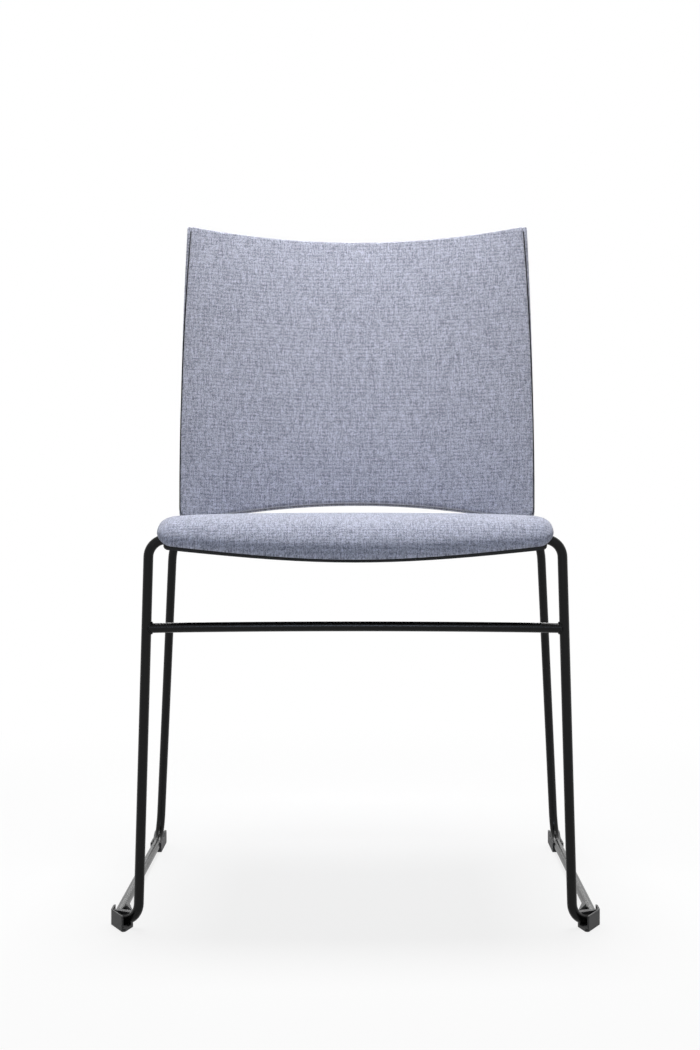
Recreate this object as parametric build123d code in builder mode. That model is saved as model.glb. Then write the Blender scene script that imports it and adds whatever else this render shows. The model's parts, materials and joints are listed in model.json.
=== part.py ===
from build123d import *

import os
from math import acos, cos, radians, sin, sqrt, tan

# Upholstered side chair on a bent-rod sled frame.
# Millimetres, +Z up, the sitter faces -Y, origin on the floor under the middle of the chair.

# Rod frame: each side is one bent rod, seat rail to back upright
rod_diameter = 11.0
rod_fit = 0.1
cope_depth = 2.0
front_leg_y = -222.3
front_bar_z = 430.7
front_bend_radius = 20.0
rail_inset = 24.3
rail_bend_radius = 22.0
front_bar_reach = 44.2
front_leg_splay = 11.6
toe_out = 25.7
runner_length = 450.6
toe_angle = 60.0
toe_bend_radius = 16.0
heel_bend_radius = 30.0
knee_splay = 24.0
knee_setback = 357.4
knee_z = 412.0
knee_bend_radius = 60.0
upright_inset = 17.7
upright_entry = 18.2
upright_length = 270.0
upright_bend_radius = 60.0

# Front stretcher, bowed to the rear
stretcher_z = 332.6
stretcher_bow = 20.0

# Plastic feet that clip on the runners
sole_thickness = 3.4
foot_wall = 1.7
foot_lip_height = 12.8
foot_mouth = 10.2
foot_corner_radius = 2.6
front_foot_height = 17.2
front_foot_rear = 60.0
front_foot_outer_rear = 40.0
front_foot_shoulder = 20.8
front_foot_nose = 17.5
front_foot_inset = 18.7
rear_foot_length = 52.0
rear_foot_overhang = 13.0
rear_foot_height = 17.8
rear_foot_round = 6.0
foot_notch = 5.0

# Seat: moulded shell on the rails, foam pad on the shell
seat_half_width = 208.3
seat_rear_gap = 5.4
seat_front = 51.5
seat_front_bow = 11.5
seat_front_corner = 6.0
seat_rear_corner = 45.0
lip_start = 8.0
lip_radius = 70.0
lip_angle = 80.0
seat_rise = 1.8
seat_shell_thickness = 3.0
pad_gap = 0.3
pad_thickness = 18.9
pad_overhang = 8.0
pad_front_overhang = 0.8
pad_crown = 5.0
pad_shoulder_width = 31.0
pad_shoulder_drop = 19.5
pad_tuck = 7.0
pad_tuck_drop = 12.0
pad_rim_radius = 7.0

# Fixing of the seat: welded tabs, screws from below, flanged inserts in the shell
tab_length = 34.0
tab_width = 24.0
tab_thickness = 4.0
tab_setback = 60.0
tab_rear_inset = 67.0
screw_radius = 3.0
screw_clearance = 0.3
screw_head_radius = 6.0
screw_head_height = 3.2
screw_socket_radius = 2.3
screw_socket_depth = 2.0
insert_radius = 4.5
insert_flange_radius = 9.0
insert_flange = 1.5

# Back: front pad, shell with two sleeves, rear pad
back_half_width = 232.2
back_offset = 16.5
back_rise = 22.0
back_recline = 12.0
back_height = 402.7
back_top_dip = 10.8
back_rear_rise = 5.4
back_arch = 32.0
back_curve_radius = 780.0
back_top_corner = 3.0
back_bottom_corner = 16.0
back_shell_thickness = 5.0
back_shell_inset = 0.8
back_shell_top_inset = 1.0
back_front_thickness = 13.0
back_rear_thickness = 10.0
back_front_inset = 3.2
back_lean = 6.6
back_bulge = 4.2
back_rear_lean = 2.7
back_rear_bulge = 2.4
back_edge_radius = 2.5
sleeve_wall = 2.0
sleeve_start = 8.0
back_screw_radius = 2.5
back_screw_head_radius = 4.5
back_screw_head_height = 2.0
back_screw_height = 100.2
back_screw_top_margin = 58.0

rod_radius = rod_diameter / 2
rail_x = seat_half_width - rail_inset
front_leg_top_x = rail_x + front_bar_reach
front_leg_foot_x = front_leg_top_x + front_leg_splay
runner_x = front_leg_foot_x + toe_out
runner_z = sole_thickness + rod_radius
toe_setback = toe_out / tan(radians(toe_angle))
upright_x = back_half_width - upright_inset
knee_x = upright_x + knee_splay
seat_rear = knee_setback - seat_rear_gap
tab_rear = seat_rear - tab_rear_inset
foot_half_width = rod_radius + foot_wall
sides = {"left": -1, "right": 1}


def save(piece, name):
    """Label one finished piece and write its STEP file."""
    piece.part.label = name
    export_step(piece.part, f"parts/{name}.step")


def bend_middle(before, corner, after, radius):
    """Middle of the arc that rounds the corner between two straight runs."""
    back = (before - corner).normalized()
    ahead = (after - corner).normalized()
    half_angle = acos(back.dot(ahead)) / 2
    return corner + (back + ahead).normalized() * (radius / sin(half_angle) - radius)


# Frames of the back: local X across, local Y to the rear, local Z up the slope
up_slope = Vector(0, sin(radians(back_recline)), cos(radians(back_recline)))
back_foot = Vector(0, front_leg_y + knee_setback + back_offset, knee_z + back_rise)
back_plane = Plane(origin=back_foot, x_dir=(1, 0, 0), z_dir=up_slope)
back_face = Plane(origin=back_foot, x_dir=(1, 0, 0), z_dir=-back_plane.y_dir)
sleeve_depth = sqrt(back_curve_radius**2 - upright_x**2)


# Corner points of one side of the rod frame
def heel_point(side):
    return Vector(side * runner_x, front_leg_y + runner_length, runner_z)


def knee_point(side):
    return Vector(side * knee_x, front_leg_y + knee_setback, knee_z)


def upright_point(side, height):
    return back_foot + up_slope * height + Vector(side * upright_x, 0, 0)


def rear_bar_point(side):
    entry = upright_point(side, upright_entry)
    return bend_middle(heel_point(side), knee_point(side), entry, knee_bend_radius)


def frame_points(side):
    rear_bar = rear_bar_point(side)
    return [
        Vector(side * rail_x, rear_bar.Y - cope_depth, rear_bar.Z),
        Vector(side * rail_x, front_leg_y, front_bar_z),
        Vector(side * front_leg_top_x, front_leg_y, front_bar_z),
        Vector(side * front_leg_foot_x, front_leg_y, runner_z),
        Vector(side * runner_x, front_leg_y + toe_setback, runner_z),
        heel_point(side),
        knee_point(side),
        upright_point(side, upright_entry),
        upright_point(side, upright_entry + upright_length),
    ]


frame_radii = [
    rail_bend_radius,
    front_bend_radius,
    front_bend_radius,
    toe_bend_radius,
    heel_bend_radius,
    knee_bend_radius,
    upright_bend_radius,
]


def bent_rod(side, radius):
    """One side of the frame, or the room it needs, as a round rod of the given radius."""
    with BuildPart() as rod:
        with BuildLine() as path:
            FilletPolyline(*frame_points(side), radius=frame_radii)
        with BuildSketch(Plane(origin=path.line @ 0, z_dir=path.line % 0)):
            Circle(radius)
        sweep()
    return rod


# Frame of the seat: local X to the rear along the rails, local Y up from the rails
rear_bar_right = rear_bar_point(1)
seat_origin = Vector(0, front_leg_y, front_bar_z)
rail_run = Vector(0, rear_bar_right.Y - front_leg_y, rear_bar_right.Z - front_bar_z)
seat_side = Plane(origin=seat_origin, x_dir=rail_run, z_dir=(1, 0, 0))
seat_top = Plane(origin=seat_origin, x_dir=(1, 0, 0), z_dir=seat_side.y_dir)
seat_front_view = Plane(origin=seat_origin, x_dir=(1, 0, 0), z_dir=-rail_run)
shell_bottom = rod_radius + seat_rise
shell_top = shell_bottom + seat_shell_thickness
pad_bottom = shell_top + pad_gap
pad_top = pad_bottom + pad_thickness
pad_half_width = seat_half_width + pad_overhang
through = 2 * back_height


def seat_outline(overhang, front_overhang):
    """Plan of the seat: bowed front edge, straight sides, rounded corners."""
    half_width = seat_half_width + overhang
    front = -seat_front - front_overhang
    corner_y = front + seat_front_bow
    rear = seat_rear + overhang
    with BuildSketch() as plan:
        with BuildLine():
            ThreePointArc((-half_width, corner_y), (0, front), (half_width, corner_y))
            Polyline(
                (half_width, corner_y),
                (half_width, rear),
                (-half_width, rear),
                (-half_width, corner_y),
            )
        make_face()
        fillet(plan.vertices().group_by(Axis.Y)[0], seat_front_corner + overhang)
        fillet(plan.vertices().group_by(Axis.Y)[-1], seat_rear_corner + overhang)
    return plan.sketch


def curved_layer(low, high):
    """Side view of a layer of the seat that follows the rails and turns down at the front."""
    low_start = (lip_start, low)
    high_start = (lip_start, high)
    low_radius = lip_radius + low - shell_bottom
    high_radius = lip_radius + high - shell_bottom
    rear = seat_rear + 2 * pad_overhang
    with BuildSketch() as layer:
        with BuildLine():
            lower = JernArc(low_start, (-1, 0), low_radius, lip_angle)
            upper = JernArc(high_start, (-1, 0), high_radius, lip_angle)
            Line(lower @ 1, upper @ 1)
            Polyline(low_start, (rear, low), (rear, high), high_start)
        make_face()
    return layer.sketch


def tab_centres():
    """Fixing points on the seat, in the seat's plan."""
    across = rail_x - rod_radius - tab_width / 2
    return [(side * across, along) for side in (-1, 1) for along in (tab_setback, tab_rear)]


os.makedirs("parts", exist_ok=True)

# Side frames
side_frames = {}
rod_rooms = {}
for name, side in sides.items():
    side_frames[name] = bent_rod(side, rod_radius)
    rod_rooms[name] = bent_rod(side, rod_radius + rod_fit)

# Stretcher between the front legs, coped to fit them: it stops short of their axes
leg_lean = (front_leg_foot_x - front_leg_top_x) / (front_bar_z - runner_z)
stretcher_x = front_leg_foot_x - (stretcher_z - runner_z) * leg_lean - cope_depth
with BuildPart() as front_stretcher:
    with BuildLine() as stretcher_path:
        ThreePointArc(
            (-stretcher_x, front_leg_y, stretcher_z),
            (0, front_leg_y + stretcher_bow, stretcher_z),
            (stretcher_x, front_leg_y, stretcher_z),
        )
    with BuildSketch(Plane(origin=stretcher_path.line @ 0, z_dir=stretcher_path.line % 0)):
        Circle(rod_radius)
    sweep()
    for frame in side_frames.values():
        add(frame.part, mode=Mode.SUBTRACT)
save(front_stretcher, "front_stretcher")

# Cross bar between the knees, behind the seat
with BuildPart() as rear_cross_bar:
    with BuildSketch(Plane(origin=(0, rear_bar_right.Y, rear_bar_right.Z), z_dir=(1, 0, 0))):
        Circle(rod_radius)
    extrude(amount=rear_bar_right.X - cope_depth, both=True)
    for frame in side_frames.values():
        add(frame.part, mode=Mode.SUBTRACT)
save(rear_cross_bar, "rear_cross_bar")

# Feet at the front: tall outer panel with a pointed nose, open in front of and behind the rod's toe
for name, side in sides.items():
    outer = side * (runner_x + foot_half_width)
    inner = side * (runner_x - foot_half_width)
    nose = side * (runner_x - front_foot_inset + foot_half_width)
    inset = side * (runner_x - front_foot_inset)
    rod_inner = side * (runner_x - rod_radius / 2)
    nose_y = front_leg_y - front_foot_nose
    shoulder_y = front_leg_y + front_foot_shoulder
    inset_y = front_leg_y + front_foot_shoulder / 2
    rear_y = front_leg_y + front_foot_rear
    with BuildPart() as front_foot:
        with BuildSketch() as plan:
            with BuildLine():
                Polyline(
                    (outer, front_leg_y + front_foot_outer_rear),
                    (outer, shoulder_y),
                    (nose, nose_y),
                    (inset, inset_y),
                    (inner, rear_y),
                    close=True,
                )
            make_face()
            fillet(plan.vertices(), foot_corner_radius)
        extrude(amount=front_foot_height)
        add(rod_rooms[name].part, mode=Mode.SUBTRACT)
        with BuildSketch(Plane.XY.offset(runner_z)):
            with Locations((side * runner_x, rear_y)):
                Rectangle(foot_mouth, 2 * (rear_y - shoulder_y))
        extrude(amount=front_foot_height, mode=Mode.SUBTRACT)
        with BuildSketch(Plane.XY.offset(sole_thickness)):
            with BuildLine():
                Polyline(
                    (side * (runner_x + rod_radius), shoulder_y),
                    (nose - side * foot_wall, nose_y),
                    (side * front_leg_foot_x, nose_y),
                    (side * front_leg_foot_x, front_leg_y),
                    (side * runner_x, front_leg_y + toe_setback),
                    close=True,
                )
            make_face()
            with BuildLine():
                Polyline(
                    (inset + side * 1.5 * foot_wall, inset_y + rod_radius),
                    (rod_inner, shoulder_y),
                    (rod_inner, rear_y - foot_half_width),
                    close=True,
                )
            make_face()
        extrude(amount=front_foot_height, mode=Mode.SUBTRACT)
    front_foot.part = Part(children=[front_foot.part.solids().sort_by(SortBy.VOLUME)[-1]])
    save(front_foot, f"front_foot_{name}")

# Feet at the rear: two walls that rise round the heel bend
for name, side in sides.items():
    rear = front_leg_y + runner_length + rear_foot_overhang
    heel = front_leg_y + runner_length
    front = heel - rear_foot_length
    slope_start = heel - heel_bend_radius / 2
    with BuildPart() as rear_foot:
        with BuildSketch(Plane.YZ.offset(side * runner_x - foot_half_width)) as wall:
            with BuildLine():
                Polyline(
                    (front, 0),
                    (rear, 0),
                    (rear, rear_foot_height),
                    (heel - foot_corner_radius, rear_foot_height),
                    (slope_start, foot_lip_height),
                    (front, foot_lip_height),
                    close=True,
                )
            make_face()
            fillet(wall.vertices().group_by(Axis.Y)[-1], rear_foot_round)
            fillet(wall.vertices().group_by(Axis.Y)[0], foot_corner_radius)
        extrude(amount=2 * foot_half_width)
        add(rod_rooms[name].part, mode=Mode.SUBTRACT)
        with BuildSketch(Plane.XY.offset(runner_z)):
            with Locations((side * runner_x, (front + rear) / 2)):
                Rectangle(foot_mouth, rear - front - 2 * foot_wall)
        extrude(amount=rear_foot_height, mode=Mode.SUBTRACT)
        with BuildSketch(Plane.XY.offset(runner_z)):
            with Locations((side * (runner_x + foot_half_width), slope_start - foot_notch)):
                Rectangle(2 * foot_wall, foot_notch)
        extrude(amount=rear_foot_height, mode=Mode.SUBTRACT)
    save(rear_foot, f"rear_foot_{name}")

# Seat shell, with seats for the inserts
shell_side_view = curved_layer(shell_bottom, shell_top)
shell_plan = seat_outline(0, 0)
with BuildPart() as seat_shell:
    with BuildSketch(seat_side):
        add(shell_side_view)
    extrude(amount=through, both=True)
    with BuildSketch(seat_top):
        add(shell_plan)
    extrude(amount=through, both=True, mode=Mode.INTERSECT)
    with BuildSketch(seat_top):
        with Locations(*tab_centres()):
            Circle(insert_radius)
    extrude(amount=pad_top, mode=Mode.SUBTRACT)
save(seat_shell, "seat_shell")

# Flanged inserts that take the seat screws
with BuildPart() as seat_inserts:
    with BuildSketch(seat_top.offset(shell_bottom)):
        with Locations(*tab_centres()):
            Circle(insert_radius)
    extrude(amount=seat_shell_thickness)
    with BuildSketch(seat_top.offset(shell_top)):
        with Locations(*tab_centres()):
            Circle(insert_flange_radius)
    extrude(amount=insert_flange)
    with BuildSketch(seat_top.offset(shell_bottom)):
        with Locations(*tab_centres()):
            Circle(screw_radius)
    extrude(amount=seat_shell_thickness + insert_flange, mode=Mode.SUBTRACT)
save(seat_inserts, "seat_inserts")

# Tabs welded to the inner side of the rails
with BuildPart() as seat_tabs:
    with BuildSketch(seat_top.offset(shell_bottom)):
        with Locations(*tab_centres()):
            Rectangle(tab_width + rod_diameter, tab_length)
    extrude(amount=-tab_thickness)
    with BuildSketch(seat_top.offset(shell_bottom)):
        with Locations(*tab_centres()):
            Circle(screw_radius + screw_clearance)
    extrude(amount=-tab_thickness, mode=Mode.SUBTRACT)
    for frame in side_frames.values():
        add(frame.part, mode=Mode.SUBTRACT)
save(seat_tabs, "seat_tabs")

# Screws from below, through the tabs into the inserts
tab_underside = shell_bottom - tab_thickness
with BuildPart() as seat_screws:
    with BuildSketch(seat_top.offset(tab_underside)):
        with Locations(*tab_centres()):
            Circle(screw_head_radius)
    extrude(amount=-screw_head_height)
    with BuildSketch(seat_top.offset(tab_underside)):
        with Locations(*tab_centres()):
            Circle(screw_radius)
    extrude(amount=tab_thickness + seat_shell_thickness)
    with BuildSketch(seat_top.offset(tab_underside - screw_head_height)):
        with Locations(*tab_centres()):
            RegularPolygon(screw_socket_radius, 6)
    extrude(amount=screw_socket_depth, mode=Mode.SUBTRACT)
save(seat_screws, "seat_screws")

# Seat pad: crowned top, round shoulders, sides drawn in over the shell
shoulder_x = pad_half_width - pad_shoulder_width
shoulder_top = pad_top - pad_crown
shoulder_low = shoulder_top - pad_shoulder_drop
diagonal = sqrt(0.5)
pad_side_view = curved_layer(pad_bottom, pad_top)
pad_plan = seat_outline(pad_overhang, pad_front_overhang)
with BuildPart() as seat_pad:
    with BuildSketch(seat_side):
        add(pad_side_view)
    extrude(amount=through, both=True)
    with BuildSketch(seat_top):
        add(pad_plan)
    extrude(amount=through, both=True, mode=Mode.INTERSECT)
    top_face, lip_face = seat_pad.faces().sort_by(Axis.Z)[-2:]
    fillet(set(top_face.edges()) ^ set(lip_face.edges()), pad_rim_radius)
    with BuildSketch(seat_front_view):
        with BuildLine():
            ThreePointArc((-shoulder_x, shoulder_top), (0, pad_top), (shoulder_x, shoulder_top))
            for side in (-1, 1):
                ThreePointArc(
                    (side * shoulder_x, shoulder_top),
                    (
                        side * (shoulder_x + pad_shoulder_width * diagonal),
                        shoulder_low + pad_shoulder_drop * diagonal,
                    ),
                    (side * pad_half_width, shoulder_low),
                )
                Polyline(
                    (side * pad_half_width, shoulder_low),
                    (side * (pad_half_width - pad_tuck), shoulder_low - pad_tuck_drop),
                    (side * (pad_half_width - pad_tuck), -lip_radius),
                )
            Line((-pad_half_width + pad_tuck, -lip_radius), (pad_half_width - pad_tuck, -lip_radius))
        make_face()
    extrude(amount=through, both=True, mode=Mode.INTERSECT)
    with BuildSketch(seat_top.offset(shell_top)):
        with Locations(*tab_centres()):
            Circle(insert_flange_radius + pad_gap)
    extrude(amount=insert_flange + pad_gap, mode=Mode.SUBTRACT)
save(seat_pad, "seat_pad")


# Back, layer by layer from the front
def back_layer(front, rear):
    """Plan of a layer of the back, an arc band from one depth to another."""
    reach = back_half_width + back_bulge
    edge = sqrt(back_curve_radius**2 - reach**2) - sleeve_depth
    middle = back_curve_radius - sleeve_depth
    with BuildSketch() as band:
        with BuildLine():
            for depth in (front, rear):
                ThreePointArc(
                    (-reach, edge + depth),
                    (0, middle + depth),
                    (reach, edge + depth),
                )
            for side in (-1, 1):
                Line((side * reach, edge + front), (side * reach, edge + rear))
        make_face()
    return band.sketch


def back_outline(side_inset, top_inset, bottom_inset, lean, bulge):
    """Front view of a layer of the back: dipped top, arched bottom, sides that bulge and lean in."""
    half_width = back_half_width - side_inset
    top_half_width = half_width - lean
    middle_half_width = half_width - lean / 2 + bulge
    top = back_height - top_inset
    bottom = bottom_inset
    with BuildSketch() as face:
        with BuildLine():
            ThreePointArc((-top_half_width, top), (0, top - back_top_dip), (top_half_width, top))
            ThreePointArc((-half_width, bottom), (0, bottom + back_arch), (half_width, bottom))
            for side in (-1, 1):
                ThreePointArc(
                    (side * half_width, bottom),
                    (side * middle_half_width, (bottom + top) / 2),
                    (side * top_half_width, top),
                )
        make_face()
        fillet(face.vertices().group_by(Axis.Y)[0], back_bottom_corner)
        fillet(face.vertices().group_by(Axis.Y)[-1], back_top_corner)
    return face.sketch


half_shell = back_shell_thickness / 2
sleeve_radius = rod_radius + rod_fit + sleeve_wall
sleeve_low = upright_entry + sleeve_start
sleeve_high = upright_entry + upright_length + sleeve_wall
sleeve_places = [(-upright_x, 0), (upright_x, 0)]
screw_plane = Plane(
    origin=back_foot + back_plane.y_dir * sleeve_radius,
    x_dir=(1, 0, 0),
    z_dir=back_plane.y_dir,
)
screw_heights = (back_screw_height, upright_entry + upright_length - back_screw_top_margin)
screw_places = [(side * upright_x, -height) for side in (-1, 1) for height in screw_heights]
shell_outline = back_outline(
    back_shell_inset, back_shell_top_inset, back_shell_inset, back_lean, back_bulge
)
front_outline = back_outline(back_front_inset, 0, back_front_inset, back_lean, back_bulge)
rear_outline = back_outline(0, -back_rear_rise, 0, back_rear_lean, back_rear_bulge)
pad_rear = half_shell + pad_gap

with BuildPart() as back_screws:
    with BuildSketch(screw_plane):
        with Locations(*screw_places):
            Circle(back_screw_radius)
    extrude(amount=-(sleeve_radius + rod_radius / 2))
    with BuildSketch(screw_plane):
        with Locations(*screw_places):
            Circle(back_screw_head_radius)
    extrude(amount=back_screw_head_height)
save(back_screws, "back_screws")

shell_band = back_layer(-half_shell, half_shell)
with BuildPart() as back_shell:
    with BuildSketch(back_plane):
        add(shell_band)
    extrude(amount=through, both=True)
    with BuildSketch(back_face):
        add(shell_outline)
    extrude(amount=through, both=True, mode=Mode.INTERSECT)
    with BuildSketch(back_plane.offset(sleeve_low)):
        with Locations(*sleeve_places):
            Circle(sleeve_radius)
    extrude(amount=sleeve_high - sleeve_low)
    for room in rod_rooms.values():
        add(room.part, mode=Mode.SUBTRACT)
    add(back_screws.part, mode=Mode.SUBTRACT)
save(back_shell, "back_shell")

front_band = back_layer(-pad_rear - back_front_thickness, -pad_rear)
with BuildPart() as back_front_pad:
    with BuildSketch(back_plane):
        add(front_band)
    extrude(amount=through, both=True)
    with BuildSketch(back_face):
        add(front_outline)
    extrude(amount=through, both=True, mode=Mode.INTERSECT)
    face_front = back_front_pad.faces().sort_by(SortBy.AREA)[-2:].sort_by(Axis.Y)[0]
    fillet(face_front.edges(), back_edge_radius)
    with BuildSketch(back_plane):
        with Locations(*sleeve_places):
            Circle(sleeve_radius + pad_gap)
    extrude(amount=sleeve_high + pad_gap, mode=Mode.SUBTRACT)
    for room in rod_rooms.values():
        add(room.part, mode=Mode.SUBTRACT)
save(back_front_pad, "back_front_pad")

rear_band = back_layer(pad_rear, pad_rear + back_rear_thickness)
with BuildPart() as back_rear_pad:
    with BuildSketch(back_plane):
        add(rear_band)
    extrude(amount=through, both=True)
    with BuildSketch(back_face):
        add(rear_outline)
    extrude(amount=through, both=True, mode=Mode.INTERSECT)
    face_rear = back_rear_pad.faces().sort_by(SortBy.AREA)[-2:].sort_by(Axis.Y)[-1]
    fillet(face_rear.edges(), back_edge_radius)
    with BuildSketch(back_plane):
        with Locations(*sleeve_places):
            Circle(sleeve_radius + pad_gap)
    extrude(amount=sleeve_high + pad_gap, mode=Mode.SUBTRACT)
    for room in rod_rooms.values():
        add(room.part, mode=Mode.SUBTRACT)
    with BuildSketch(screw_plane.offset(-sleeve_wall)):
        with Locations(*screw_places):
            Circle(back_screw_head_radius + pad_gap)
    extrude(amount=sleeve_wall + back_screw_head_height + pad_gap, mode=Mode.SUBTRACT)
save(back_rear_pad, "back_rear_pad")

# The side frames, with the holes for the back screws
for name, frame in side_frames.items():
    with BuildPart() as side_frame:
        add(frame.part)
        add(back_screws.part, mode=Mode.SUBTRACT)
    save(side_frame, f"side_frame_{name}")
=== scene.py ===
import json
from math import asin, atan, cos, pi, radians, sin, sqrt

import bmesh
import bpy
import numpy as np
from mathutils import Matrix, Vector


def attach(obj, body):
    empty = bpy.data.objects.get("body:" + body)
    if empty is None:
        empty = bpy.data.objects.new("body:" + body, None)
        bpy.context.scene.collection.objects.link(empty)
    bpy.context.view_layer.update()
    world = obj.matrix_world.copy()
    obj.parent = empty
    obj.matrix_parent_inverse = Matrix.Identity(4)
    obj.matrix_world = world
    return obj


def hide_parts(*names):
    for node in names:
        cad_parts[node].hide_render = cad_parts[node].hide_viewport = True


# Upholstered side chair on a bent-rod sled frame: its looks, in metres, in the frame of the solids.

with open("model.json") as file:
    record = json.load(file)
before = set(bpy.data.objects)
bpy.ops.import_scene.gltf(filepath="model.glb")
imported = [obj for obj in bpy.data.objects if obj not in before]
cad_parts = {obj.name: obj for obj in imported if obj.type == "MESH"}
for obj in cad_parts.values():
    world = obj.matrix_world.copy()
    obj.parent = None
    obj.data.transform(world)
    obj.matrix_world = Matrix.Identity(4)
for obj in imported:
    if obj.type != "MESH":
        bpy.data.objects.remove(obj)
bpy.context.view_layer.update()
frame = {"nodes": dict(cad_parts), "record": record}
nodes = frame["nodes"]
scene = bpy.context.scene

# Camera, from the photograph of 700 by 1050 pixels
IMAGE_HEIGHT_PX = 1050
IMAGE_CENTRE_PX = (350, 525)
FOCAL_PX = 1850
HORIZON_PX = 460
STRAIGHT_AHEAD_PX = 365.1
SENSOR_MM = 36.0
CAMERA_PLACE = Vector((0.0107, -2.266, 0.5182))

# Back, as the solids have it. The sleeves hold the uprights of the frame.
BACK_FOOT = Vector((0, 0.1516, 0.434))
BACK_RECLINE = radians(12)
BACK_HALF_WIDTH = 0.2322
BACK_HEIGHT = 0.4027
BACK_TOP_DIP = 0.0108
BACK_ARCH = 0.032
BACK_CURVE_RADIUS = 0.78
BACK_TOP_CORNER = 0.003
BACK_BOTTOM_CORNER = 0.016
UPRIGHT_X = 0.2145
SLEEVE_RADIUS = 0.0076
SLEEVE_TOP = 0.2902
SCREW_REACH = 0.0096
SHELL_HALF = 0.0025
PAD_GAP = 0.0003

# Pads of the back
FRONT_PAD = dict(inset=0.0032, bottom=0.0004, rise=0.0, lean=0.0066, bulge=0.0042,
                 thickness=0.013, groove=SLEEVE_RADIUS)
REAR_PAD = dict(inset=0.0, bottom=0.0, rise=0.0054, lean=0.0027, bulge=0.0024,
                thickness=0.010, groove=SCREW_REACH)
PAD_EDGE_RADIUS = 0.003
PAD_INNER_EDGE = 0.0008
GRID_PITCH = 0.006
EDGE_LINES = (0, 0.0003, 0.0009, 0.0018, 0.003, 0.0045)
CORNER_LINES = (0.008, 0.012, 0.016)
SLEEVE_LINES_END = 0.029
SLEEVE_PITCH = 0.0022
FIRST_SLEEVE_LINE = 3

# Seat, as the solids have it
SEAT_ORIGIN = Vector((0, -0.2223, 0.4307))
RAIL_FALL = 0.01966
RAIL_RUN = 0.3614
SEAT_SLOPE = atan(RAIL_FALL / RAIL_RUN)
LIP_START = 0.008
LIP_CENTRE = -0.0627
PAD_TOP = 0.0295
PAD_BOTTOM = 0.0106
SEAT_BOW = 0.0135

# Seat pad: its plan where it is widest and where it meets the shell, and its edge
WIDEST = dict(half_width=0.2163, front=-0.0560, rear=0.360, front_corner=0.015, rear_corner=0.053)
LOWEST = dict(half_width=0.2098, front=-0.0535, rear=0.354, front_corner=0.009, rear_corner=0.047)
SEAT_CROWN = 0.002
SHOULDER_WIDTH = 0.030
SHOULDER_DROP = 0.0122
WALL_RINGS = 7
SEAT_EDGE_LINES = (0, 0.0005, 0.0014, 0.003, 0.0052, 0.008, 0.0115, 0.016, 0.021, 0.027)
INSERT_ROOM = 0.0022
INSERT_ROOM_EDGE = 0.025

# Cloth: how far the seat pad shrinks first, how far each pad may swell, and how firmly its edge is held
SEAT_SHRINK = 0.002
SEAT_CAP = 0.0035
EDGE_HOLD = 1.5
BACK_CAP = 0.004
CLOTH_FRAMES = 20
CLOTH_QUALITY = 5
CLOTH_MASS = 0.3
CLOTH_BENDING = 2.0
PRESSURE = 4.0

# Weave: pitch of the yarns in metres, then lengths counted in yarns, and how much each kind of shade counts
YARN_PITCH = 0.00098
PICKS_IN_REPEAT = 5
STAGGER = 0.37
WARP_RUN = 8
WEFT_RUN = 5
DASH_RUN = 4
ROW_STEP = 7.3
SLUB_SCALE = (0.7, 0.07)
SLUB_LAYER = 9.0
WARP_SHARE = 0.42
WEFT_SHARE = 0.26
CROSSING_SHARE = 0.7
SLUB_SHARE = 0.08
REPEAT_SHARE = 0.12
DARK_YARN = (0.19, 0.20, 0.255, 1)
PALE_YARN = (0.64, 0.66, 0.785, 1)


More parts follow.
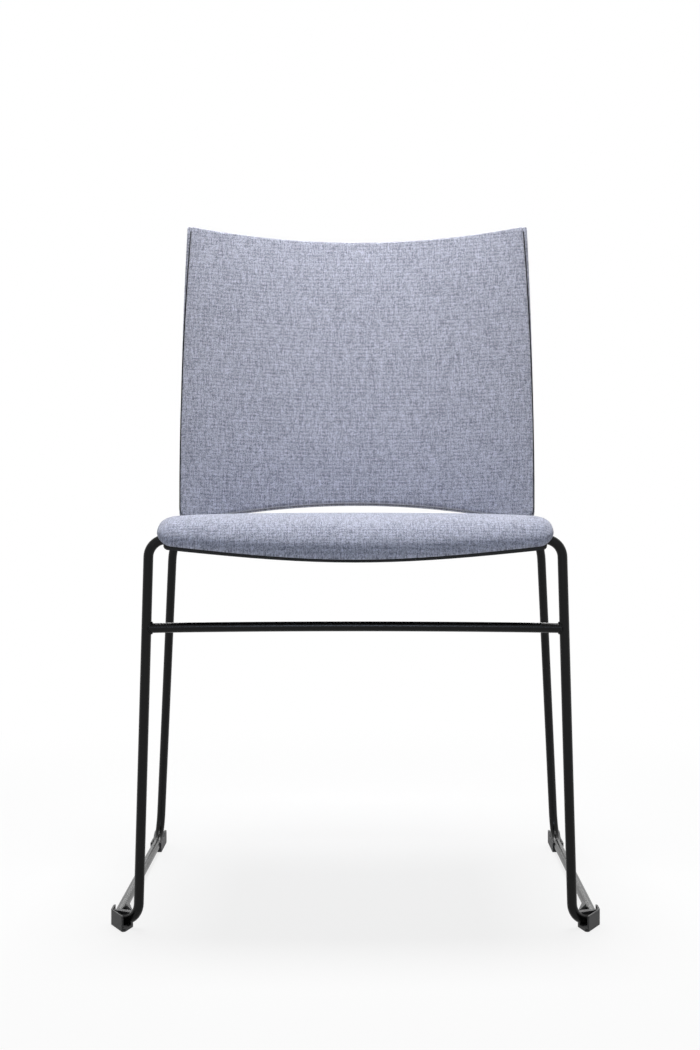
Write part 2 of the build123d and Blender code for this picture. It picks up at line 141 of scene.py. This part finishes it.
class Graph:
    """A material's node tree, with short calls for the nodes that the materials share."""

    def __init__(self, name):
        self.material = bpy.data.materials.new(name)
        self.material.use_nodes = True
        self.tree = self.material.node_tree
        self.shader = self.tree.nodes["Principled BSDF"]

    def add(self, kind, **settings):
        made = self.tree.nodes.new(kind)
        for key, value in settings.items():
            setattr(made, key, value)
        return made

    def put(self, socket, value):
        if isinstance(value, bpy.types.NodeSocket):
            self.tree.links.new(value, socket)
        else:
            socket.default_value = value

    def math(self, operation, *values):
        made = self.add("ShaderNodeMath", operation=operation)
        for socket, value in zip(made.inputs, values):
            self.put(socket, value)
        return made.outputs[0]

    def times(self, value, factor):
        return self.math("MULTIPLY", value, factor)

    def vector(self, x, y, z=0.0):
        made = self.add("ShaderNodeCombineXYZ")
        for socket, value in zip(made.inputs, (x, y, z)):
            self.put(socket, value)
        return made.outputs[0]

    def noise(self, vector, scale, detail=2.0):
        made = self.add("ShaderNodeTexNoise")
        self.put(made.inputs["Vector"], vector)
        made.inputs["Scale"].default_value = scale
        made.inputs["Detail"].default_value = detail
        return made.outputs["Fac"]

    def random(self, x, y):
        """A random value for each pair of whole numbers."""
        made = self.add("ShaderNodeTexWhiteNoise", noise_dimensions="2D")
        self.put(made.inputs["Vector"], self.vector(x, y))
        return made.outputs["Value"]

    def steps(self, distance, length, number):
        """Distance counted in lengths, staggered from one number to the next."""
        return self.math("MULTIPLY_ADD", number, STAGGER, self.times(distance, 1 / length))

    def mix(self, factor, first, second, blend="MIX"):
        made = self.add("ShaderNodeMix", data_type="RGBA", blend_type=blend)
        self.put(made.inputs["Factor"], factor)
        self.put(made.inputs["A"], first)
        self.put(made.inputs["B"], second)
        return made.outputs["Result"]

    def spread(self, value, low, high):
        """value, from 0 to 1, spread between low and high."""
        return self.math("MULTIPLY_ADD", value, high - low, low)

    def vary(self, tone, value, share):
        """tone, moved up or down by as much as half of share."""
        return self.math("ADD", tone, self.spread(value, -share / 2, share / 2))

    def contrast(self, value, low=0.36, high=0.64):
        """Stretches the middle of a noise to the whole of 0 to 1."""
        made = self.add("ShaderNodeMapRange", interpolation_type="SMOOTHSTEP")
        self.put(made.inputs["Value"], value)
        made.inputs["From Min"].default_value = low
        made.inputs["From Max"].default_value = high
        return made.outputs["Result"]

    def bump(self, height, distance, strength=1.0):
        made = self.add("ShaderNodeBump")
        made.inputs["Strength"].default_value = strength
        made.inputs["Distance"].default_value = distance
        self.put(made.inputs["Height"], height)
        self.put(self.shader.inputs["Normal"], made.outputs["Normal"])

    def set(self, **values):
        for name, value in values.items():
            self.put(self.shader.inputs[name.replace("_", " ")], value)


def woven_fabric():
    """Plain weave whose yarns run from dark to pale, with slubs along the warp."""
    g = Graph("woven_fabric")
    place = g.add("ShaderNodeAttribute", attribute_name="weave").outputs["Vector"]
    parts = g.add("ShaderNodeSeparateXYZ")
    g.put(parts.inputs[0], place)
    across = g.times(parts.outputs["X"], 1 / YARN_PITCH)
    along = g.times(parts.outputs["Y"], 1 / YARN_PITCH)
    warp_number = g.math("FLOOR", across)
    weft_number = g.math("FLOOR", along)
    warp_round = g.math("PINGPONG", across, 0.5)
    weft_round = g.math("PINGPONG", along, 0.5)
    warp_on_top = g.math("PINGPONG", g.math("ADD", warp_number, weft_number), 1.0)

    # Height of the yarn on top, which dips towards its next crossing
    warp_height = g.times(warp_round, g.spread(weft_round, 1.2, 2.8))
    weft_height = g.times(weft_round, g.spread(warp_round, 1.2, 2.8))
    weft_on_top = g.math("SUBTRACT", 1.0, warp_on_top)
    height = g.math("ADD", g.times(warp_on_top, warp_height), g.times(weft_on_top, weft_height))

    # Shade of the yarns: runs along warp and weft, single crossings, slubs, and a paler pick in each repeat
    warp_run = g.random(warp_number, g.math("FLOOR", g.steps(along, WARP_RUN, warp_number)))
    weft_run = g.random(g.math("FLOOR", g.steps(across, WEFT_RUN, weft_number)), weft_number)
    crossing = g.random(warp_number, weft_number)
    slub_place = g.vector(g.times(across, SLUB_SCALE[0]), g.times(along, SLUB_SCALE[1]), SLUB_LAYER)
    slub = g.contrast(g.noise(slub_place, 1.0))
    repeat = g.times(along, 1 / PICKS_IN_REPEAT)
    row = g.times(g.math("ROUND", repeat), ROW_STEP)
    dash = g.contrast(g.noise(g.vector(g.times(across, 1 / DASH_RUN), row), 1.0))
    paler = g.times(g.math("COSINE", g.times(repeat, 2 * pi)), g.spread(dash, 0.5, 1.1))
    tone = g.spread(warp_run, 0.5 - WARP_SHARE / 2, 0.5 + WARP_SHARE / 2)
    tone = g.vary(tone, weft_run, WEFT_SHARE)
    tone = g.vary(tone, crossing, CROSSING_SHARE)
    tone = g.vary(tone, slub, SLUB_SHARE)
    tone = g.math("MULTIPLY_ADD", paler, REPEAT_SHARE, tone)
    yarn = g.mix(tone, DARK_YARN, PALE_YARN)

    # Flecks of fibre and wide clouds, times painted shade in the hollows between the yarns, darker where a
    # yarn dips
    fleck = g.spread(g.noise(place, 1400, 1.0), 0.75, 1.25)
    cloudy = g.spread(g.noise(place, 18, 2.0), 0.97, 1.03)
    # the last factor is painted shade: the colour darkens where the yarn height is low
    fleck_and_hollow_shade = g.times(g.times(fleck, cloudy), g.spread(height, 0.80, 1.06))
    g.set(Base_Color=g.mix(1.0, yarn, g.vector(fleck_and_hollow_shade, fleck_and_hollow_shade, fleck_and_hollow_shade), "MULTIPLY"))
    g.set(Roughness=0.95, Sheen_Weight=0.15, Sheen_Roughness=0.5, Specular_IOR_Level=0.2)
    g.bump(height, 0.0003, 0.7)
    return g.material


def powder_coat():
    """Matte black powder coat, with its fine orange peel."""
    g = Graph("powder_coat")
    place = g.add("ShaderNodeTexCoord").outputs["Object"]
    peel = g.noise(place, 900, 2.0)
    cloud = g.noise(place, 14, 3.0)
    g.set(Base_Color=g.mix(cloud, (0.004, 0.004, 0.004, 1), (0.008, 0.008, 0.008, 1)))
    g.set(Roughness=g.spread(cloud, 0.22, 0.30), Specular_IOR_Level=0.16)
    g.bump(peel, 0.00012, 0.5)
    return g.material


def moulded_plastic(name, dark, light, grain_size):
    """Moulded plastic with a fine spark-eroded grain."""
    g = Graph(name)
    place = g.add("ShaderNodeTexCoord").outputs["Object"]
    grain = g.noise(place, 1 / grain_size, 3.0)
    cloud = g.noise(place, 25, 2.0)
    g.set(Base_Color=g.mix(cloud, (*dark, 1), (*light, 1)))
    g.set(Roughness=g.spread(grain, 0.48, 0.66), Specular_IOR_Level=0.2)
    g.bump(grain, 0.0001, 0.6)
    return g.material


def zinc_steel():
    """Zinc-plated steel with turned marks."""
    g = Graph("zinc_steel")
    place = g.add("ShaderNodeTexCoord").outputs["Object"]
    marks = g.noise(place, 1500, 2.0)
    g.set(Base_Color=g.mix(marks, (0.36, 0.36, 0.37, 1), (0.55, 0.55, 0.56, 1)), Metallic=1.0)
    g.set(Roughness=g.spread(marks, 0.28, 0.46))
    g.bump(marks, 0.00005, 0.4)
    return g.material


fabric = woven_fabric()
rod_black = powder_coat()
foot_plastic = moulded_plastic("foot_plastic", (0.040, 0.040, 0.041), (0.055, 0.055, 0.056), 0.0006)
shell_plastic = moulded_plastic("shell_plastic", (0.006, 0.006, 0.006), (0.010, 0.010, 0.010), 0.0005)
steel = zinc_steel()
finishes = {"rod_black": rod_black, "foot_plastic": foot_plastic, "shell_plastic": shell_plastic,
            "fastener": steel, "fabric": fabric}
for subpart in frame["record"]["subparts"]:
    mesh = nodes[subpart["node"]].data
    mesh.materials.clear()
    mesh.materials.append(finishes[subpart["material_slot"]])


def new_piece(name, vertices, faces):
    """A smooth-shaded mesh object in the scene."""
    mesh = bpy.data.meshes.new(name)
    mesh.from_pydata([tuple(v) for v in vertices], [], faces)
    mesh.validate()
    made = bpy.data.objects.new(name, mesh)
    scene.collection.objects.link(made)
    shell = bmesh.new()
    shell.from_mesh(mesh)
    bmesh.ops.recalc_face_normals(shell, faces=shell.faces)
    shell.to_mesh(mesh)
    shell.free()
    for polygon in mesh.polygons:
        polygon.use_smooth = True
    return made


def coordinates(piece):
    """Places of the vertices, one row each."""
    found = np.zeros(len(piece.data.vertices) * 3)
    piece.data.vertices.foreach_get("co", found)
    return found.reshape(-1, 3)


def place_vertices(piece, points):
    """Moves the vertices to the rows of points."""
    piece.data.vertices.foreach_set("co", points.ravel())
    piece.data.update()


def normals(piece):
    """Way out of the surface at each vertex, one row each."""
    found = np.zeros(len(piece.data.vertices) * 3)
    piece.data.vertices.foreach_get("normal", found)
    return found.reshape(-1, 3)


def swell(piece, held, cap):
    """Inflates the free vertices as cloth, and keeps each within cap of where it was."""
    group = piece.vertex_groups.new(name="held")
    for weight in np.unique(held.round(2)):
        if weight > 0:
            found = np.flatnonzero(held.round(2) == weight).tolist()
            group.add(found, float(weight), "REPLACE")
    rest = coordinates(piece)
    cloth = piece.modifiers.new("cloth", "CLOTH")
    settings = cloth.settings
    settings.vertex_group_mass = group.name
    settings.use_pressure = True
    settings.uniform_pressure_force = PRESSURE
    settings.effector_weights.gravity = 0
    settings.quality = CLOTH_QUALITY
    settings.mass = CLOTH_MASS
    settings.bending_stiffness = CLOTH_BENDING
    cloth.point_cache.frame_start = 1
    cloth.point_cache.frame_end = CLOTH_FRAMES
    for number in range(1, CLOTH_FRAMES + 1):
        scene.frame_set(number)
    settled = piece.evaluated_get(bpy.context.evaluated_depsgraph_get()).data
    after = np.zeros(len(settled.vertices) * 3)
    settled.vertices.foreach_get("co", after)
    moved = after.reshape(-1, 3) - rest
    length = np.linalg.norm(moved, axis=1, keepdims=True)
    moved *= cap * np.tanh(length / cap) / np.maximum(length, 1e-9)
    piece.modifiers.remove(cloth)
    piece.vertex_groups.remove(group)
    place_vertices(piece, rest + moved)
    scene.frame_set(1)


def finish_soft(piece, node, weave):
    """Gives a pad its weave, its subdivision and its place in the table."""
    attribute = piece.data.attributes.new("weave", "FLOAT_VECTOR", "POINT")
    attribute.data.foreach_set("vector", weave.astype(np.float32).ravel())
    piece.data.materials.append(fabric)
    smooth = piece.modifiers.new("smooth", "SUBSURF")
    smooth.levels = 1
    smooth.render_levels = 1
    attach(piece, "root")
    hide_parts(node)


# Back pads: a grid over the front view, two sheets and the wall between them

def grid_lines(length, near_edges):
    """Distances from one edge to the other, close together at both edges."""
    inner = length / 2 - near_edges[-1]
    count = round(inner / GRID_PITCH)
    half = list(near_edges) + [near_edges[-1] + inner * (k + 1) / count for k in range(count)]
    return half + [length - d for d in reversed(half[:-1])]


def grid_rim(across, down):
    """Numbers of the vertices round a grid, in order."""
    last = (down - 1) * across
    near = list(range(across))
    right = [r * across + across - 1 for r in range(1, down)]
    far = [last + c for c in reversed(range(across - 1))]
    left = [r * across for r in reversed(range(1, down - 1))]
    return near + right + far + left


def sheet_faces(across, down):
    """Faces of two grids of the same size, the second one numbered after the first and facing away."""
    count = across * down
    faces = []
    for r in range(down - 1):
        for c in range(across - 1):
            a = r * across + c
            faces.append((a, a + 1, a + 1 + across, a + across))
            faces.append((count + a, count + a + across, count + a + 1 + across, count + a + 1))
    return faces


def wall_faces(first, second):
    """Faces between two closed rings."""
    pairs = list(zip(first, second))
    return [(a, c, d, b) for (a, b), (c, d) in zip(pairs, pairs[1:] + pairs[:1])]


def round_corner(p, q, radius):
    """Maps a corner square of the grid onto a quarter disc. p and q run from its inner corner."""
    a, b = p / radius, q / radius
    return p * sqrt(1 - b * b / 2), q * sqrt(1 - a * a / 2)


class BackPad:
    """Front view and depth of one pad of the back."""

    def __init__(self, inset, bottom, rise, lean, bulge, thickness, groove):
        self.half_bottom = BACK_HALF_WIDTH - inset
        self.top = BACK_HEIGHT + rise
        self.lean = lean
        self.bulge = bulge
        self.bottom = bottom
        self.thickness = thickness
        self.groove = groove

    def half_width(self, height):
        share = min(max((height - self.bottom) / (self.top - self.bottom), 0), 1)
        return self.half_bottom - self.lean * share + 4 * self.bulge * share * (1 - share)

    def edges(self, x):
        """Lowest and highest point of the front view at x."""
        low = self.bottom + BACK_ARCH * (1 - (x / self.half_bottom) ** 2)
        high = self.top - BACK_TOP_DIP * (1 - (x / self.half_width(self.top)) ** 2)
        return low, high

    def point(self, from_left, from_bottom, width, tall):
        """Place in the front view, and distance to the edge, of a point of the even grid."""
        x = from_left - width / 2
        low, high = self.edges(x)
        height = low + (high - low) * from_bottom / tall
        x *= self.half_width(height) * 2 / width
        near_side = min(from_left, width - from_left)
        near_end = min(from_bottom, tall - from_bottom)
        edge = min(near_side, near_end)
        at_top = from_bottom > tall / 2
        radius = BACK_TOP_CORNER if at_top else BACK_BOTTOM_CORNER
        p, q = radius - near_side, radius - near_end
        if p > 0 and q > 0:
            new_p, new_q = round_corner(p, q, radius)
            x += (p - new_p) * (1 if x < 0 else -1)
            height += (q - new_q) * (-1 if at_top else 1)
            edge = radius - sqrt(new_p ** 2 + new_q ** 2)
        return x, height, edge

    def groove_depth(self, x, height):
        """How far the room for the sleeve reaches into the pad."""
        room = self.groove + PAD_GAP
        off = abs(abs(x) - UPRIGHT_X)
        if off >= room or height > SLEEVE_TOP + PAD_GAP:
            return 0.0
        return max(0.0, sqrt(room ** 2 - off ** 2) - SHELL_HALF - PAD_GAP)


def edge_drop(edge, radius):
    """Depth of a rounded edge at a distance in from the outline."""
    away = min(max(radius - edge, 0), radius)
    return radius - sqrt(radius ** 2 - away ** 2)


def back_pad(name, node, sizes, facing):
    """One pad of the back. facing is -1 for the front pad and 1 for the rear pad."""
    pad = BackPad(**sizes)
    width = 2 * pad.half_bottom
    tall = pad.top - pad.bottom - BACK_ARCH
    sleeve_lines = [SLEEVE_PITCH * k for k in range(FIRST_SLEEVE_LINE, int(SLEEVE_LINES_END / SLEEVE_PITCH))]
    columns = grid_lines(width, list(EDGE_LINES) + sleeve_lines)
    rows = grid_lines(tall, list(EDGE_LINES) + list(CORNER_LINES))
    up = Vector((0, sin(BACK_RECLINE), cos(BACK_RECLINE)))
    rearward = Vector((0, cos(BACK_RECLINE), -sin(BACK_RECLINE)))
    sleeve_depth = sqrt(BACK_CURVE_RADIUS ** 2 - UPRIGHT_X ** 2)
    vertices, weave, held = [], [], []
    inner = SHELL_HALF + PAD_GAP
    for outer_sheet in (True, False):
        for from_bottom in rows:
            for from_left in columns:
                x, height, edge = pad.point(from_left, from_bottom, width, tall)
                if outer_sheet:
                    depth = inner + pad.thickness - edge_drop(edge, PAD_EDGE_RADIUS)
                else:
                    depth = inner + edge_drop(edge, PAD_INNER_EDGE) + pad.groove_depth(x, height)
                curve = sqrt(BACK_CURVE_RADIUS ** 2 - x ** 2) - sleeve_depth
                middle = BACK_FOOT + Vector((x, 0, 0)) + up * height
                vertices.append(middle + rearward * (curve + facing * depth))
                weave.append((x, height - depth, facing))
                held.append(0.0 if outer_sheet and edge > EDGE_LINES[-1] else 1.0)
    rim = grid_rim(len(columns), len(rows))
    inner_rim = [len(columns) * len(rows) + corner for corner in rim]
    piece = new_piece(name, vertices, sheet_faces(len(columns), len(rows)) + wall_faces(rim, inner_rim))
    swell(piece, np.array(held), BACK_CAP)
    finish_soft(piece, node, np.array(weave))


# Seat pad: a grid over the plan, a top and an underside, and a wall that turns under to the shell

class SeatPlan:
    """Plan of the seat pad at one level: bowed front, straight sides, round corners."""

    def __init__(self, half_width, front, rear, front_corner, rear_corner):
        self.half_width = half_width
        self.front = front
        self.rear = rear
        self.front_corner = front_corner
        self.rear_corner = rear_corner

    def point(self, across, along):
        """Place in the plan, distance to the edge and way out, for shares across and along."""
        width, length = 2 * self.half_width, self.rear - self.front
        x = (across - 0.5) * width
        front = self.front + SEAT_BOW * (x / self.half_width) ** 2
        y = front + (self.rear - front) * along
        near_side = min(across, 1 - across) * width
        near_end = min(along, 1 - along) * length
        out_x = -1 if across < 0.5 else 1
        out_y = -1 if along < 0.5 else 1
        radius = self.front_corner if along < 0.5 else self.rear_corner
        p, q = radius - near_side, radius - near_end
        if p > 0 and q > 0:
            new_p, new_q = round_corner(p, q, radius)
            reach = sqrt(new_p ** 2 + new_q ** 2)
            x -= out_x * (p - new_p)
            y -= out_y * (q - new_q)
            return x, y, radius - reach, (out_x * new_p / reach, out_y * new_q / reach)
        if near_side < near_end:
            return x, y, near_side, (out_x, 0)
        return x, y, near_end, (0, out_y)


def layer_height(level, along):
    """Height above the rails of a layer of the seat that turns down at the front."""
    ahead = max(LIP_START - along, 0)
    radius = level - LIP_CENTRE
    return LIP_CENTRE + sqrt(radius ** 2 - ahead ** 2)


def rolled_length(along):
    """Distance along the cloth, from its length along the rails."""
    radius = PAD_TOP - LIP_CENTRE
    ahead = max(LIP_START - along, 0)
    return max(along, LIP_START) - radius * asin(ahead / radius)


def seat_point(x, along, above):
    """A point of the seat's own frame in the chair's frame."""
    y = along * cos(SEAT_SLOPE) + above * sin(SEAT_SLOPE)
    z = above * cos(SEAT_SLOPE) - along * sin(SEAT_SLOPE)
    return SEAT_ORIGIN + Vector((x, y, z))


def shares(length, near_edges):
    """Grid lines as shares of the length."""
    return [d / length for d in grid_lines(length, near_edges)]


def seat_pad():
    """The seat pad: its top, its underside and the rings of its wall."""
    widest, lowest = SeatPlan(**WIDEST), SeatPlan(**LOWEST)
    columns = shares(2 * widest.half_width, SEAT_EDGE_LINES)
    rows = shares(widest.rear - widest.front, SEAT_EDGE_LINES)
    vertices, weave, held = [], [], []

    def top(across, along):
        x, y, edge, out = widest.point(across, along)
        away = min(max(1 - edge / SHOULDER_WIDTH, 0), 1)
        drop = SHOULDER_DROP * (1 - sqrt(1 - away ** 2))
        height = layer_height(PAD_TOP, y) - SEAT_CROWN * (x / widest.half_width) ** 2 - drop
        return x, y, height, out, drop, away

    def underside(across, along):
        x, y, edge, _ = lowest.point(across, along)
        room = INSERT_ROOM * min(edge / INSERT_ROOM_EDGE, 1)
        return x, y, layer_height(PAD_BOTTOM, y) + room

    def put(x, y, height, out, run, hold):
        vertices.append(seat_point(x, y, height))
        weave.append((x + out[0] * run, rolled_length(y) + out[1] * run, 0.0))
        held.append(hold)

    for along in rows:
        for across in columns:
            x, y, height, out, drop, away = top(across, along)
            put(x, y, height, out, drop, min(1.0, EDGE_HOLD * away))
    for along in rows:
        for across in columns:
            put(*underside(across, along), (0, 0), 0.0, 1.0)
    across_count, count = len(columns), len(columns) * len(rows)
    rim = grid_rim(across_count, len(rows))
    for ring in range(1, WALL_RINGS):
        turn = pi / 2 * ring / WALL_RINGS
        for corner in rim:
            place = columns[corner % across_count], rows[corner // across_count]
            x, y, height, out, drop, _ = top(*place)
            low_x, low_y, low_height = underside(*place)
            inward, down = 1 - cos(turn), sin(turn)
            run = drop + (height - low_height) * down
            put(x + (low_x - x) * inward, y + (low_y - y) * inward,
                height + (low_height - height) * down, out, run, 1.0)
    faces = sheet_faces(across_count, len(rows))
    rings = [rim]
    for ring in range(WALL_RINGS - 1):
        first = 2 * count + ring * len(rim)
        rings.append(list(range(first, first + len(rim))))
    rings.append([count + corner for corner in rim])
    for upper, lower in zip(rings, rings[1:]):
        faces += wall_faces(upper, lower)
    piece = new_piece("seat_cushion", vertices, faces)
    held = np.array(held)
    shrink = SEAT_SHRINK * (1 - held)[:, None]
    place_vertices(piece, coordinates(piece) - normals(piece) * shrink)
    swell(piece, held, SEAT_CAP)
    finish_soft(piece, "seat_pad", np.array(weave))


# Weld beads, where a rod ends on the side of another

ROD_RADIUS = 0.0055
BEAD_RADIUS = 0.0018
BEAD_LEAST = 0.0004
BEAD_STEPS = 48
BEAD_SIDES = 8
STRETCHER_JOINT = Vector((0.2309, -0.2223, 0.3326))
STRETCHER_TURN = radians(10)
LEG_WAY = Vector((-0.0275, 0, 1))
REAR_BAR_JOINT = Vector((0.2358, 0.1392, 0.4108))
KNEE_WAY = Vector((-0.2916, 0.0949, 0.9518))
RAIL_X = 0.184


def mirrored(vector, side):
    """The vector itself on side 1, and its mirror image on side -1."""
    return Vector((side * vector.x, vector.y, vector.z))


def bead_rings(joint, way_out, way_along):
    """Rings of a bead on the saddle where a rod that runs out from joint meets the rod that runs along."""
    across = way_out.cross(way_along).normalized()
    upright = across.cross(way_out).normalized()
    rings = []
    for step in range(BEAD_STEPS):
        turn = 2 * pi * step / BEAD_STEPS
        steep = abs(sin(turn))
        outward = across * cos(turn) + upright * sin(turn)
        middle = joint + (way_out * steep + outward) * ROD_RADIUS
        radius = BEAD_LEAST + (BEAD_RADIUS - BEAD_LEAST) * steep
        angles = [2 * pi * k / BEAD_SIDES for k in range(BEAD_SIDES)]
        rings.append([middle + (way_out * cos(a) + outward * sin(a)) * radius for a in angles])
    return rings


def weld_beads():
    """Beads at the stretcher, at the rear cross bar and at the ends of the seat rails."""
    rear_bar = Vector((RAIL_X, REAR_BAR_JOINT.y, REAR_BAR_JOINT.z))
    to_front = Vector((0, -cos(SEAT_SLOPE), sin(SEAT_SLOPE)))
    inward = Vector((-cos(STRETCHER_TURN), sin(STRETCHER_TURN), 0))
    joints = [(STRETCHER_JOINT, inward, LEG_WAY), (REAR_BAR_JOINT, Vector((-1, 0, 0)), KNEE_WAY),
              (rear_bar, to_front, Vector((1, 0, 0)))]
    vertices, faces = [], []
    for joint, way_out, way_along in joints:
        for side in (-1, 1):
            rings = bead_rings(*(mirrored(v, side) for v in (joint, way_out, way_along)))
            starts = [len(vertices) + step * BEAD_SIDES for step in range(BEAD_STEPS)]
            numbers = [list(range(start, start + BEAD_SIDES)) for start in starts]
            for ring, following in zip(numbers, numbers[1:] + numbers[:1]):
                faces += wall_faces(ring, following)
            vertices += [point for ring in rings for point in ring]
    piece = new_piece("weld_beads", vertices, faces)
    piece.data.materials.append(rod_black)
    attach(piece, "root")


seat_pad()
back_pad("back_front_cushion", "back_front_pad", FRONT_PAD, -1)
back_pad("back_rear_cushion", "back_rear_pad", REAR_PAD, 1)
weld_beads()


# Stage: a pale floor, white further off, and soft light from above, from the rear and from the front

FLOOR_HALF = 6.0
FLOOR_CLEAR = 0.0002
FLOOR_SHADE_NEAR = 0.3
FLOOR_SHADE_FAR = 1.4
FLOOR_WHITE_NEAR = 0.81
FLOOR_COLOURS = (0.69, 0.69, 0.69, 1), (0.71, 0.71, 0.71, 1)


def floor():
    """Floor that shows the chair's shadow near it, and is white to the eye and in reflections further off."""
    g = Graph("floor")
    place = g.add("ShaderNodeNewGeometry").outputs["Position"]
    far = g.add("ShaderNodeVectorMath", operation="LENGTH")
    g.put(far.inputs[0], place)
    fade = g.add("ShaderNodeMapRange", interpolation_type="SMOOTHSTEP")
    g.put(fade.inputs["Value"], far.outputs["Value"])
    fade.inputs["From Min"].default_value = FLOOR_SHADE_NEAR
    fade.inputs["From Max"].default_value = FLOOR_SHADE_FAR
    fade.inputs["To Min"].default_value = FLOOR_WHITE_NEAR
    grain = g.noise(place, 60, 2.0)
    g.set(Base_Color=g.mix(grain, *FLOOR_COLOURS), Roughness=0.9, Specular_IOR_Level=0.1)
    path = g.add("ShaderNodeLightPath")
    seen = g.math("MAXIMUM", path.outputs["Is Camera Ray"], path.outputs["Is Glossy Ray"])
    seen = g.math("MAXIMUM", seen, path.outputs["Is Transmission Ray"])
    white = g.add("ShaderNodeEmission")
    choose = g.add("ShaderNodeMixShader")
    g.put(choose.inputs[0], g.times(fade.outputs["Result"], seen))
    g.put(choose.inputs[1], g.shader.outputs["BSDF"])
    g.put(choose.inputs[2], white.outputs["Emission"])
    output = g.tree.nodes["Material Output"]
    g.put(output.inputs["Surface"], choose.outputs["Shader"])
    mesh = bpy.data.meshes.new("floor")
    sides = [(-1, -1), (1, -1), (1, 1), (-1, 1)]
    corners = [(x * FLOOR_HALF, y * FLOOR_HALF, -FLOOR_CLEAR) for x, y in sides]
    mesh.from_pydata(corners, [], [(0, 1, 2, 3)])
    made = bpy.data.objects.new("floor", mesh)
    mesh.materials.append(g.material)
    scene.collection.objects.link(made)


def sky(front, rear):
    """World that is white to the eye and in reflections, and lights softly, less from the front."""
    world = bpy.data.worlds.new("studio")
    world.use_nodes = True
    scene.world = world
    tree = world.node_tree
    background = tree.nodes["Background"]
    background.inputs["Color"].default_value = (1, 1, 1, 1)
    path = tree.nodes.new("ShaderNodeLightPath")
    seen = path.outputs["Is Camera Ray"]
    for kind in ("Is Glossy Ray", "Is Transmission Ray"):
        either = tree.nodes.new("ShaderNodeMath")
        either.operation = "MAXIMUM"
        tree.links.new(seen, either.inputs[0])
        tree.links.new(path.outputs[kind], either.inputs[1])
        seen = either.outputs[0]
    place = tree.nodes.new("ShaderNodeTexCoord")
    parts = tree.nodes.new("ShaderNodeSeparateXYZ")
    tree.links.new(place.outputs["Generated"], parts.inputs[0])
    ambient = tree.nodes.new("ShaderNodeMapRange")
    tree.links.new(parts.outputs["Y"], ambient.inputs["Value"])
    ambient.inputs["From Min"].default_value = -1
    ambient.inputs["To Min"].default_value = front
    ambient.inputs["To Max"].default_value = rear
    level = tree.nodes.new("ShaderNodeMapRange")
    tree.links.new(seen, level.inputs["Value"])
    tree.links.new(ambient.outputs["Result"], level.inputs["To Min"])
    level.inputs["To Max"].default_value = 1.0
    tree.links.new(level.outputs["Result"], background.inputs["Strength"])


def softbox(name, place, target, width, height, power, spread, colour=(1, 1, 1)):
    """Rectangular light at place that points at target. spread is in degrees."""
    light = bpy.data.lights.new(name, "AREA")
    light.color = colour
    light.shape = "RECTANGLE"
    light.size = width
    light.size_y = height
    light.energy = power
    light.spread = radians(spread)
    made = bpy.data.objects.new(name, light)
    made.location = place
    made.rotation_euler = (Vector(target) - Vector(place)).to_track_quat("-Z", "Y").to_euler()
    scene.collection.objects.link(made)


def camera():
    """Level camera whose shift puts the horizon where the photograph has it."""
    data = bpy.data.cameras.new("camera")
    data.sensor_width = SENSOR_MM
    data.lens = FOCAL_PX / IMAGE_HEIGHT_PX * SENSOR_MM
    made = bpy.data.objects.new("camera", data)
    data.shift_x = (IMAGE_CENTRE_PX[0] - STRAIGHT_AHEAD_PX) / IMAGE_HEIGHT_PX
    data.shift_y = (HORIZON_PX - IMAGE_CENTRE_PX[1]) / IMAGE_HEIGHT_PX
    made.location = CAMERA_PLACE
    made.rotation_euler = (pi / 2, 0, 0)
    scene.collection.objects.link(made)
    scene.camera = made


floor()
sky(front=0.08, rear=0.28)
softbox("key", place=(0, 0.1, 2.4), target=(0, -0.05, 0.45), width=1.1, height=0.9, power=16.2, spread=90)
softbox("rear", place=(0, 2.2, 1.5), target=(0, 0.25, 0.6), width=1.6, height=1.2, power=14, spread=120)
softbox("back", place=(0, -0.8, 1.7), target=(0, 0.25, 0.78), width=0.5, height=0.5, power=0.45, spread=24)
softbox("seat", place=(0, -1.6, 0.9), target=(0, -0.27, 0.38), width=0.9, height=0.4, power=0.22, spread=20,
        colour=(0.82, 0.98, 1.25))
camera()

scene.view_settings.view_transform = "Standard"
